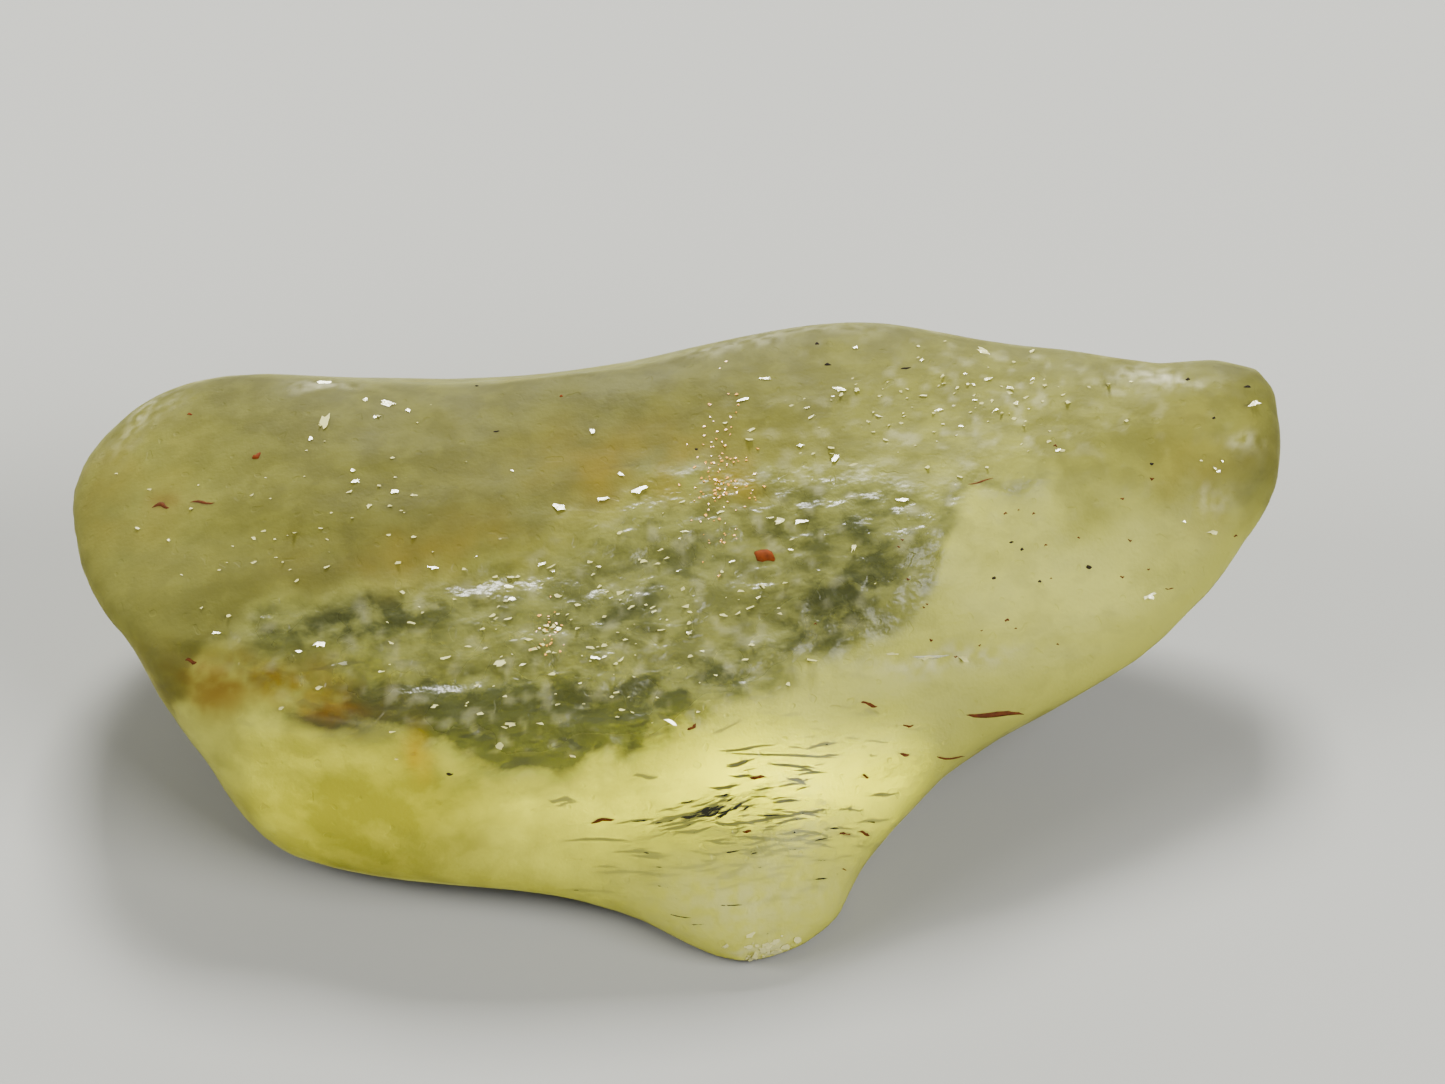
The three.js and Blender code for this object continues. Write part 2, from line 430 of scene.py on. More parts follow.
DENTS = patches(
    (-9.1, -2.95, 1.3, 0.3, 0.3, -6), (-12.2, -1.3, 1.3, 0.3, 0.15, -10),
    (-5.9, -1.9, 2.2, 0.3, 0.12, 4), (-4.3, 0.95, 0.9, 0.25, 0.12, 4),
    (-0.7, -2.4, 1.6, 0.35, 0.15, 10), (3.1, 1.5, 1.1, 0.8, 0.12, 20), (8, -1.4, 2, 0.4, 0.12, 4),
)
FRONT_PATCHES = {
    Zone.RIGHT_TOP: patches((9, 5.6, 6, 2.6, 0.6)),
    Zone.LEFT_END: patches((-14.6, 2.4, 2.6, 4, 0.45)),
}
LOBE_PATCHES = {
    Zone.RIGHT_LOBE: patches((10, 0.6, 4.5, 3)),
    Zone.GLOW: patches((3.4, -5.1, 2.9, 1.7), (-1.6, -5.9, 2, 1.1, 0.6)),
    Zone.TIP: patches((2.4, -8, 3.6, 1.8)),
    Zone.DARKER_LOWER_LEFT: patches((-7.8, -5.6, 6.2, 3.4, 1.1)),
}


@dataclass(frozen=True)
class Finish:
    """A material on one surface shader."""

    name: str

    def make(self) -> bpy.types.Material:
        """Builds the material."""
        material = bpy.data.materials.new(self.name)
        material.use_nodes = True
        tree = material.node_tree
        tree.nodes.clear()
        place = add_node(tree, "TexCoord").outputs["Object"]
        shader = add_node(tree, "BsdfPrincipled", **self.surface(place))
        output = add_node(tree, "OutputMaterial", Surface=shader.outputs[0])
        self.fill(output)
        return material

    def surface(self, place: Socket) -> dict[str, Any]:
        """Gives the shader's inputs, for a place in metres."""
        raise NotImplementedError

    def fill(self, output: bpy.types.Node) -> None:
        """Links what lies under the surface to the output, which is nothing here."""


@dataclass(frozen=True)
class WornSilicaGlass(Finish):
    """Natural silica glass, melted and then sandblasted by desert wind.

    The eye gets a pale yellow body that darkens to olive where it is deep, a satin skin that blurs
    and softly scatters what is behind it, and small polished hollows that glint.
    """

    name: str = "Worn_silica_glass"
    skin: str = "E8E87A"
    khaki: str = "928F44"
    clean: str = "D8D98A"
    # colour of the painted shade in the band
    painted_shade: str = "5E623F"
    ochre: str = "B49C32"
    rust: str = "9A6C24"
    # white of the bruises and of the painted sheen on the rim
    bruises_and_sheen: str = "E8E5C4"
    body: str = "DFDE8C"
    body_density: float = 190.0  # per metre
    sheen: float = 0.4
    clear_share: float = 0.96  # of the light that isn't scattered, where it is clean
    hazy_share: float = 0.3  # where it is hazy
    bruise_and_sheen_share: float = 0.2  # and where it is bruised white or carries painted sheen
    shade_haze: float = 0.6  # how much the painted shade scatters
    shade_dimming: float = 0.4  # and how much it holds back
    dust_gaps: float = 0.2  # how far the gaps between cloudlets clear the dust
    shade_gaps: float = 0.35  # and the painted shade
    polished: float = 0.26
    satin: float = 0.32
    frosted: float = 0.78
    grain: float = 0.11  # mm, from grain to grain of the sandblasting
    grain_depth: float = 0.01
    fold: float = 0.42  # mm, from one fine fold or striation to the next
    fold_stretch: float = 1.6  # times longer along the flow
    fold_depth: float = 0.07  # where the skin is crumpled
    streak_depth: float = 0.015  # elsewhere
    pit: float = 0.3  # mm, across the mottle whose peaks are pits
    pit_peaks: Pair = (0.72, 0.8)
    pit_depth: float = 0.01
    cloudlet: float = 0.75  # mm, from one cloudlet of dust and painted shade to the next
    cloudlet_stretch: float = 1.3
    cloudlet_range: Pair = (0.36, 0.66)
    flow_turn: float = 5.0  # degrees that the flow turns up and back

    def surface(self, place: Socket) -> dict[str, Any]:
        """Gives the shader's inputs.

        Args:
            place: The place in metres.

        Returns:
            Each input's value or the socket that feeds it.
        """
        tree = place.id_data
        marks = {
            mark: add_node(tree, "Attribute", {"attribute_name": mark.value}).outputs["Fac"]
            for mark in Mark
        }
        worn = mixed(marks[Mark.FROST], self.satin, self.frosted)
        return {
            "Base_Color": self._colour(marks, self._gaps(place)),
            "Roughness": mixed(marks[Mark.CLEAR], worn, self.polished),
            "IOR": SILICA_IOR,
            "Specular_IOR_Level": self.sheen,
            "Transmission_Weight": self._clearness(marks),
            "Normal": self._relief(marks, place),
        }

    def fill(self, output: bpy.types.Node) -> None:
        """Links the absorbing yellow body to the material's output."""
        inputs = {"Color": linear(self.body), "Density": self.body_density}
        depth = add_node(output.id_data, "VolumeAbsorption", **inputs)
        output.id_data.links.new(depth.outputs[0], output.inputs["Volume"])

    def _along_flow(self, place: Socket, stretch: float) -> Socket:
        """Draws a pattern out along the flow.

        Args:
            place: The place in metres.
            stretch: How many times longer the pattern becomes.

        Returns:
            Where to read the pattern.
        """
        turn = math.radians(self.flow_turn)
        spin = {"Rotation": (0.0, -turn, turn), "Scale": (stretch, 1.0, 1.0)}
        kind = {"vector_type": "TEXTURE"}
        return add_node(place.id_data, "Mapping", kind, Vector=place, **spin).outputs["Vector"]

    def _gaps(self, place: Socket) -> Socket:
        """The gaps between cloudlets of dust and painted shade, where the glass is clearer."""
        drawn = self._along_flow(place, self.cloudlet_stretch)
        return ramped(mottled(drawn, self.cloudlet, **CLOUDY), *self.cloudlet_range)

    def _colour(self, marks: dict[Mark, Socket], gaps: Socket) -> Socket:
        """Pale glass, with cloudlets of painted shade, ochre clouds, ragged rust, and white
        bruises and painted sheen.

        Args:
            marks: The skin's marks.
            gaps: Where there are gaps between cloudlets.

        Returns:
            The colour.
        """
        dust = worked("MULTIPLY_ADD", gaps, -self.dust_gaps, marks[Mark.KHAKI])
        thin = worked("MULTIPLY_ADD", gaps, -self.shade_gaps, 1.0)
        painted_shade = worked("MULTIPLY", marks[Mark.SMOKE], thin)
        tone: Any = self.skin
        for cover, colour in (
            (dust, self.khaki),
            (marks[Mark.CLEAR], self.clean),
            (painted_shade, self.painted_shade),
            (marks[Mark.STAIN], self.ochre),
            (marks[Mark.RUST], self.rust),
            (marks[Mark.BLOOM], self.bruises_and_sheen),
        ):
            tone = mixed(cover, tone, colour)
        return tone

    def _clearness(self, marks: dict[Mark, Socket]) -> Socket:
        """The share of light that goes through, less where frosting or the painted shade holds it
        back, and least on the white bruises and the painted sheen.

        Args:
            marks: The skin's marks.

        Returns:
            The share, from 0 to 1.
        """
        painted_shade = marks[Mark.SMOKE]
        haze = worked("MULTIPLY_ADD", painted_shade, self.shade_haze, marks[Mark.HAZE])
        dimming = worked("MULTIPLY_ADD", painted_shade, -self.shade_dimming, 1.0)
        clear = worked("MULTIPLY", mixed(haze, self.clear_share, self.hazy_share), dimming)
        return mixed(marks[Mark.BLOOM], clear, self.bruise_and_sheen_share)

    def _relief(self, marks: dict[Mark, Socket], place: Socket) -> Socket:
        """Grain, striations, folds and pits, each as deep as its field says, in millimetres.

        Args:
            marks: The skin's marks.
            place: The place in metres.

        Returns:
            The way that the relief faces.
        """
        drawn = self._along_flow(place, self.fold_stretch)
        folds = mottled(drawn, self.fold, Detail=2.0, Roughness=0.6)
        folding = mixed(marks[Mark.CRINKLE], self.streak_depth, self.fold_depth)
        pits = ramped(mottled(place, self.pit, Detail=0.0), *self.pit_peaks)
        grain = mottled(place, self.grain, Detail=1.0)
        height = worked("MULTIPLY", grain, self.grain_depth)
        height = worked("MULTIPLY_ADD", pits, -self.pit_depth, height)
        return bumped(worked("MULTIPLY_ADD", folds, folding, height), 1.0)


@dataclass(frozen=True)
class EarthyOxide(Finish):
    """An opaque, earthy inclusion, such as iron oxide, with a dull broken surface.

    The eye gets a matt grain that is darker in its hollows.
    """

    light: str
    dark: str
    roughness: float = 0.8
    grain: float = 0.15  # mm
    grain_depth: float = 0.03  # mm
    grain_strength: float = 0.6  # share of that depth that shows

    def surface(self, place: Socket) -> dict[str, Any]:
        """Gives the shader's inputs, for a place in metres."""
        mottle = mottled(place, self.grain, Detail=3.0)
        return {
            "Base_Color": mixed(mottle, self.dark, self.light),
            "Roughness": self.roughness,
            "Normal": bumped(mottle, self.grain_depth, self.grain_strength),
        }


@dataclass(frozen=True)
class ChippedGlass(Finish):
    """Freshly chipped glass: smooth, curved little breaks in a cloudy skin.

    The eye gets pale specks, and a white flash from each one that faces the light.
    """

    name: str = "Chipped_glass"
    tone: str = "DAD798"
    roughness: float = 0.14
    ripple: float = 0.12  # mm, from one ripple of the break to the next
    ripple_depth: float = 0.006  # mm

    def surface(self, place: Socket) -> dict[str, Any]:
        """Gives the shader's inputs, for a place in metres."""
        normal = bumped(mottled(place, self.ripple, Detail=1.0), self.ripple_depth)
        plain = {"Base_Color": linear(self.tone), "Roughness": self.roughness}
        return plain | {"IOR": SILICA_IOR, "Normal": normal}


@dataclass(frozen=True)
class MatteCard(Finish):
    """Matt card, which takes soft shadows and doesn't shine."""

    name: str = "Matte_card"
    tone: str = "B4B4AE"
    roughness: float = 0.85

    def surface(self, place: Socket) -> dict[str, Any]:
        """Gives the shader's inputs, which are the same at every place."""
        return {"Base_Color": linear(self.tone), "Roughness": self.roughness}


def read_vectors(mesh: bpy.types.Mesh, name: str) -> Array:
    """Reads one vector of every vertex, such as its place or its normal."""
    values = np.zeros(len(mesh.vertices) * 3)
    mesh.vertices.foreach_get(name, values)
    return values.reshape(-1, 3)


@dataclass(frozen=True)
class Survey:
    """Where the skin's points lie and which way they face."""

    points: Array  # mm
    facing: Array
    along: Array  # mm along the outline plane
    up: Array  # and up it
    front: Array  # how much they face the front, from 0 to 1


def weighed(zones: dict[Zone, Array], weights: dict[Zone, float]) -> Array:
    """Adds zones up, each times its weight."""
    return sum(weight * zones[zone] for zone, weight in weights.items())


@dataclass
class StoneSkin:
    """The stone's outer surface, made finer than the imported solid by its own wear.

    A size along and across the flow is in millimetres, as every depth and height is.
    """

    cell: float = 0.132  # mm between the skin's points
    weld: float = 1e-4  # mm within which the solid's points are one
    smoothing: int = 12
    ridge_height: float = 0.035
    ridge_size: Pair = (5.0, 0.9)
    fine_ridge_size: Pair = (2.2, 0.42)
    fine_ridge_share: float = 0.45
    ridge_sink: float = 0.6  # share of their height that the ridges lie below the solid
    scallop_depth: float = 0.04
    scallop_size: Pair = (1.1, 0.6)
    crumple_depth: float = 0.06
    crumple_size: float = 0.6
    crumple_stretch: float = 1.7
    crumple_finer: float = 2.3  # how much smaller the second folds are
    wander: Pair = (0.9, 0.54)  # mm that a zone's edge strays along and up
    stain_wander: float = 0.4
    wander_noise: tuple[Pair, ...] = ((1.7, 1.0), (0.6, 0.35))  # size in mm and share of each
    cloud_size: float = 1.3
    cloud_octaves: tuple[float, float, int] = (1.0, 2.0, 3)  # falloff, step and count
    speckle_size: float = 0.25
    speckle_swing: float = 0.8
    blotch_size: float = 0.42
    stain_clouds: Islands = Islands(1.6, 0.2, 0.85)
    back_stains: Islands = Islands(3.0, 1.7, 0.5)
    rust_crusts: Islands = Islands(1.0, 0.5)
    rust_mix: Pair = (1.4, 0.8)  # how far clouds and speckle break rust up
    # breaks the white bruises and the painted rim sheen into specks
    bruise_and_sheen_specks: Islands = Islands(2.0, 0.4)
    bruises: Islands = Islands(3.2, 0.7)
    back_bruises: Islands = Islands(3.2, 0.9, 0.35)
    shade_swing: Pair = (0.75, 1.25)  # the painted shade's share in thin and thick cloud
    facing_gain: float = 3.0  # how fast the front or the base gives way to the next zone
    base_turn: float = 1.5  # how far down the skin has to face to count as base
    seen_base: Pair = (1.0, 2.5)  # mm back, over which the base comes to be seen
    ground_gap: float = 0.02  # mm under the base
    stone: bpy.types.Object = field(init=False)
    tree: BVHTree = field(init=False)
    limits: tuple[Array, Array] = field(init=False)

    def build(self, solid: bpy.types.Object) -> bpy.types.Object:
        """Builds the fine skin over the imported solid.

        Args:
            solid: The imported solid's object.

        Returns:
            The skin's object.
        """
        low, high = (np.array(corner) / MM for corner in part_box(solid.name))
        low[2] += self.ground_gap
        self.limits = (low, high)
        self.stone = self._fine_copy(solid)
        mesh = self.stone.data
        points = read_vectors(mesh, "co")
        facing = read_vectors(mesh, "normal")
        offset = points - np.array(PLANE.middle)
        along = offset @ np.array(PLANE.right)
        up = offset @ np.array(PLANE.up)
        front = np.clip(facing @ np.array(PLANE.out) * self.facing_gain, 0, 1)
        marks = self._marks(Survey(points, facing, along, up, front))

        crinkle = marks[Mark.CRINKLE]
        rise = self._ridges(points) + self._crumple(points, crinkle)
        rise += self._scallops(points, crinkle * front)
        rise -= sum(dent.cover(along, up) for dent in DENTS) * front
        points = np.clip(points + facing * rise[:, None], *self.limits)
        mesh.vertices.foreach_set("co", (points * MM).ravel())
        for polygon in mesh.polygons:
            polygon.use_smooth = True
        mesh.update()

        for mark, values in marks.items():
            layer = mesh.attributes.new(mark.value, "FLOAT", "POINT")
            kept = np.clip(values, 0, MARK_LIMIT).astype(np.float32)
            layer.data.foreach_set("value", kept)
        self.tree = BVHTree.FromPolygons(
            [Vector(p) for p in points], [tuple(p.vertices) for p in mesh.polygons]
        )
        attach(self.stone, "root")
        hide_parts(solid.name)
        return self.stone

    def _fine_copy(self, solid: bpy.types.Object) -> bpy.types.Object:
        """Copies the solid in millimetres, evens out its points and rounds off its facets."""
        mesh = solid.data.copy()
        mesh.materials.clear()
        mesh.transform(Matrix.Scale(1 / MM, 4))
        welded = bmesh.new()
        welded.from_mesh(mesh)
        bmesh.ops.remove_doubles(welded, verts=welded.verts, dist=self.weld)
        welded.to_mesh(mesh)
        welded.free()
        rough = placed("stone_blank", mesh)
        even = rough.modifiers.new("even", "REMESH")
        even.mode = "VOXEL"
        even.voxel_size = self.cell
        soften = rough.modifiers.new("soften", "SMOOTH")
        soften.factor = 0.5
        soften.iterations = self.smoothing
        bpy.context.view_layer.update()
        graph = bpy.context.evaluated_depsgraph_get()
        fine = bpy.data.meshes.new_from_object(rough.evaluated_get(graph))
        fine.name = "stone_skin"
        bpy.data.objects.remove(rough)
        bpy.data.meshes.remove(mesh)
        return placed("stone_skin", fine)

    def _marks(self, skin: Survey) -> dict[Mark, Array]:
        """Works out every mark.

        Args:
            skin: Where the skin's points lie and which way they face.

        Returns:
            Each mark's value at every point.
        """
        points = skin.points
        noise.seed_set(SEED)  # or else the vector noise starts from the clock
        stray = sum(
            share * np.array([noise.noise_vector(Vector(p) / size) for p in points])
            for size, share in self.wander_noise
        )
        aside, climb = stray[:, 0], stray[:, 1]
        stained = (skin.along + self.stain_wander * aside, skin.up + self.stain_wander * climb)
        marks = {
            mark: sum(patch.cover(*stained) for patch in laid_out) * skin.front
            for mark, laid_out in MARK_PATCHES.items()
        }
        along, up = skin.along + self.wander[0] * aside, skin.up + self.wander[1] * climb
        zones = self._zones(skin, along, up)
        behind = zones[Zone.BEHIND]
        octaves = self.cloud_octaves
        drift = np.array([noise.fractal(Vector(p) / self.cloud_size, *octaves) for p in points])
        cloud = 0.5 + 0.5 * drift
        speckle = 0.5 + self.speckle_swing * rolling(points, self.speckle_size)
        blotch = rolling(points, self.blotch_size, (9, 4, 2))
        marks[Mark.STAIN] *= self.stain_clouds.seen(cloud)
        marks[Mark.STAIN] += self.back_stains.seen(cloud) * behind
        by_cloud, by_speckle = self.rust_mix
        marks[Mark.RUST] *= self.rust_crusts.seen(cloud * by_cloud + speckle * by_speckle)
        marks[Mark.BLOOM] *= self.bruise_and_sheen_specks.seen(speckle)
        marks[Mark.BLOOM] += self.bruises.seen(blotch) * weighed(zones, BRUISED)
        marks[Mark.BLOOM] += self.back_bruises.seen(blotch) * behind
        # the painted shade is thicker where the clouds are
        thin, thick = self.shade_swing
        marks[Mark.SMOKE] *= thin + (thick - thin) * cloud
        for mark, weights in ZONE_MARKS.items():
            marks[mark] = marks.get(mark, 0.0) + weighed(zones, weights)
        marks[Mark.KHAKI] += 0.5 * drift * UNEVEN[Mark.KHAKI] * zones[Zone.LOBES]
        marks[Mark.FROST] += 0.5 * drift * UNEVEN[Mark.FROST]
        marks[Mark.HAZE] += 0.5 * drift * UNEVEN[Mark.HAZE] * (1 - zones[Zone.UNDERNEATH])
        return marks

    def _zones(self, skin: Survey, along: Array, up: Array) -> dict[Zone, Array]:
        """Works out how far every point belongs to each zone.

        Args:
            skin: Where the skin's points lie and which way they face.
            along: How far along the points count, so that the zones' edges wander.
            up: And how far up.

        Returns:
            Each zone's cover from 0 to about 1.
        """
        front = skin.front
        band = MIDDLE_BAND.cover(along, up) * front
        above = MIDDLE_BAND.above(along, up) * front
        lobes = np.clip(front - band - above, 0, 1)
        underneath = np.clip(-skin.facing[:, 2] * self.facing_gain - self.base_turn, 0, 1)
        zones = {
            Zone.BAND: band,
            Zone.ABOVE: above,
            Zone.LOBES: lobes,
            Zone.BEHIND: (1 - front) * (1 - underneath),
            Zone.UNDERNEATH: underneath,
            Zone.SEEN_BASE: underneath * np.interp(skin.points[:, 1], self.seen_base, (0, 1)),
        }
        for within, parts in ((front, FRONT_PATCHES), (lobes, LOBE_PATCHES)):
            for zone, laid_out in parts.items():
                zones[zone] = sum(patch.cover(along, up) for patch in laid_out) * within
        return zones

    def _ridges(self, points: Array) -> Array:
        """Long low ridges along the flow, finer across it than along it."""
        broad = rolling(drawn_out(points, *self.ridge_size))
        fine = rolling(drawn_out(points, *self.fine_ridge_size), shift=(7, 3, 1))
        return self.ridge_height * (broad + self.fine_ridge_share * fine - self.ridge_sink)

    def _crumple(self, points: Array, cover: Array) -> Array:
        """Small folds with narrow crests, a little longer along the flow than across it."""
        places = drawn_out(points, self.crumple_stretch, 1.0)
        folds = -2 * np.abs(rolling(places, self.crumple_size))
        folds += 0.5 * rolling(places, self.crumple_size / self.crumple_finer, (5, 1, 8))
        return self.crumple_depth * np.where(cover > FAINT, cover * folds, 0)

    def _scallops(self, points: Array, cover: Array) -> Array:
        """Shallow overlapping cups with sharp rims, where the front is rippled."""
        places = drawn_out(points, *self.scallop_size)
        nearest = np.array([noise.voronoi(Vector(p))[0][0] for p in places])
        cups = np.minimum(nearest, 1) ** 2 - 1
        return self.scallop_depth * np.where(cover > FAINT, cover * cups, 0)

    def front_at(self, along: float, up: float) -> tuple[Vector, Vector] | None:
        """Finds the front of the skin over a place on the outline plane, and how it faces."""
        hit, normal, _, _ = self.tree.ray_cast(PLANE.place(along, up, 30.0), -PLANE.out)
        return None if hit is None else (hit, normal)

    def kept_in(self, point: Vector) -> Vector:
        """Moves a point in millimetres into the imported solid's box."""
        return Vector(
            min(max(value, low), high) for value, low, high in zip(point, *self.limits)
        )

    def dress(self, finish: Finish) -> None:
        """Gives the skin its material."""
        self.stone.data.materials.append(finish.make())


@dataclass(frozen=True)
class Streak:
    """A small inclusion or chip: its place, its size in millimetres and how it lies."""

    along: float
    up: float
    length: float
    width: float
    depth: float = 0.1
    rise: float = 5.0


def laid(depth: float, *places: tuple[float, float, float, float, float]) -> tuple[Streak, ...]:
    """Lays streaks at one depth, each by its place along and up, its length, width and rise."""
    return tuple(Streak(*place[:4], depth, place[4]) for place in places)


def scattered(
    patch: Patch, count: int, lengths: Pair, slimness: float, rises: Pair, depth: float
) -> tuple[Streak, ...]:
    """Scatters streaks over a patch, thickest at its middle.

    Args:
        patch: Where the streaks lie.
        count: How many there are.
        lengths: The shortest and the longest, in millimetres.
        slimness: How many times longer than wide they are.
        rises: The least and the most that they climb to the right, in degrees.
        depth: Millimetres below the skin.

    Returns:
        The streaks.
    """
    chance = random.Random(SEED + count)
    slope = math.tan(math.radians(patch.rise))
    streaks = []
    for _ in range(count):
        length = chance.uniform(*lengths)
        shift = chance.gauss(0, patch.half_width / 2)
        streaks.append(
            Streak(
                patch.along + shift,
                patch.up + shift * slope + chance.gauss(0, patch.half_height / 2),
                length,
                length / slimness,
                depth,
                chance.uniform(*rises),
            )
        )
    return tuple(streaks)


@dataclass
class Inclusions:
    """Many small inclusions of one kind, in one mesh."""

    name: str
    slot: Slot
    streaks: tuple[Streak, ...]
    rounded: bool = True  # instead of broken facets
    skin: StoneSkin = field(init=False)
    shape: bmesh.types.BMesh = field(init=False)
    chance: random.Random = field(init=False)
    made: bpy.types.Object = field(init=False)

    def build(self, skin: StoneSkin) -> bpy.types.Object:
        """Builds the inclusions in the stone's skin.

        Args:
            skin: The stone's skin, which carries them.

        Returns:
            Their object.
        """
        self.skin = skin
        self.chance = random.Random(SEED + len(self.streaks))
        self.shape = bmesh.new()
        for streak in self.streaks:
            self._add(streak)
        for vertex in self.shape.verts:
            vertex.co = skin.kept_in(vertex.co)
        mesh = bpy.data.meshes.new(self.name)
        self.shape.to_mesh(mesh)
        self.shape.free()
        mesh.transform(Matrix.Scale(MM, 4))
        for polygon in mesh.polygons:
            polygon.use_smooth = self.rounded
        self.made = placed(self.name, mesh)
        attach(self.made, "root")
        return self.made

    def _add(self, streak: Streak) -> None:
        """Adds one inclusion to the shape, in a way that each kind has of its own."""
        raise NotImplementedError

    def _close(self, rows: list[list[bmesh.types.BMVert]]) -> None:
        """Joins rings of points by faces, and closes the first and the last.

        Args:
            rows: The rings, each with as many points as the next.
        """
        sides = len(rows[0])
        for near, far in zip(rows, rows[1:]):
            for step in range(sides):
                after = (step + 1) % sides
                self.shape.faces.new((near[step], near[after], far[after], far[step]))
        self.shape.faces.new(rows[0][::-1])
        self.shape.faces.new(rows[-1])

    def dress(self, finish: Finish) -> None:
        """Gives the inclusions their material."""
        self.made.data.materials.append(finish.make())


@dataclass
class StreakBundle(Inclusions):
    """Spindle-shaped inclusions under the skin."""

    rings: int = 7
    sides: int = 6
    bend: float = 0.25  # widths that a spindle sways
    fatness: Pair = (0.7, 1.2)  # least and greatest, from ring to ring
    raggedness: Pair = (0.8, 1.2)  # and from corner to corner
    blunt: float = 0.06  # share of half a turn that is left off each end
    thinness: float = 0.5  # thickness as a share of the width

    def _add(self, streak: Streak) -> None:
        """Adds one ragged spindle, which keeps its depth under the skin all along.

        Args:
            streak: The spindle's place and size.
        """
        axis = PLANE.flow(streak.rise)
        side = PLANE.out.cross(axis).normalized()
        lift = axis.cross(side)
        climb = math.radians(streak.rise)
        spine = []
        for ring in range(self.rings):
            share = ring / (self.rings - 1)
            swell = math.sin(math.pi * (self.blunt + (1 - 2 * self.blunt) * share))
            fat = swell * self.chance.uniform(*self.fatness)
            reach = (share - 0.5) * streak.length
            sway = math.sin(share * math.pi * 2 + streak.along) * self.bend * streak.width
            found = self.skin.front_at(
                streak.along + reach * math.cos(climb) - sway * math.sin(climb),
                streak.up + reach * math.sin(climb) + sway * math.cos(climb),
            )
            if found is not None:
                surface, normal = found
                spine.append((surface - normal * streak.depth, fat))
        if len(spine) < 2:
            return
        rows = []
        for point, fat in spine:
            row = []
            for step in range(self.sides):
                turn = 2 * math.pi * step / self.sides
                reach = streak.width / 2 * fat * self.chance.uniform(*self.raggedness)
                offset = side * math.cos(turn) * reach
                offset += lift * math.sin(turn) * reach * self.thinness
                row.append(self.shape.verts.new(point + offset))
            rows.append(row)
        self._close(rows)


@dataclass
class ChipField(Inclusions):
    """Small chips set in the skin, each with one flat facet that looks up.

    A chip's size is the one that it shows square on to the outline plane.
    """

    rounded: bool = False
    tilt: float = 0.08  # how far a facet may lean from that, as a slope
    corners: int = 8
    root: float = 0.15  # mm that a chip reaches into the stone
    foot: float = 0.4  # the foot's size as a share of the facet's
    jitter: float = 0.3  # share of a step that a corner strays
    raggedness: Pair = (0.35, 1.0)  # least and greatest reach of a corner
    # How far up the skin faces where the facets begin to lie level, and where they all do.
    level_from: Pair = (0.3, 0.7)

    def _add(self, streak: Streak) -> None:
        """Adds one tablet with a ragged outline that tapers into the stone.

        Args:
            streak: The chip's place and size.
        """
        chance = self.chance
        found = self.skin.front_at(streak.along, streak.up)
        if found is None:
            return
        surface, normal = found
        middle = surface - normal * streak.depth
        level = float(np.interp(normal.z, self.level_from, (0, 1)))
        lean = Vector((chance.gauss(0, self.tilt), chance.gauss(0, self.tilt), 1))
        facet = (lean * level + normal * (1 - level)).normalized()
        along = PLANE.flow(streak.rise)
        across = PLANE.out.cross(along)
        top, foot = [], []
        for step in range(self.corners):
            strayed = step + chance.uniform(-self.jitter, self.jitter)
            turn = 2 * math.pi * strayed / self.corners
            reach = chance.uniform(*self.raggedness) / 2
            flat = along * math.cos(turn) * streak.length * reach
            flat += across * math.sin(turn) * streak.width * reach
            corner = flat - PLANE.out * flat.dot(facet) / PLANE.out.dot(facet)
            top.append(self.shape.verts.new(middle + corner))
            foot.append(self.shape.verts.new(middle + corner * self.foot - normal * self.root))
        self._close([foot, top])


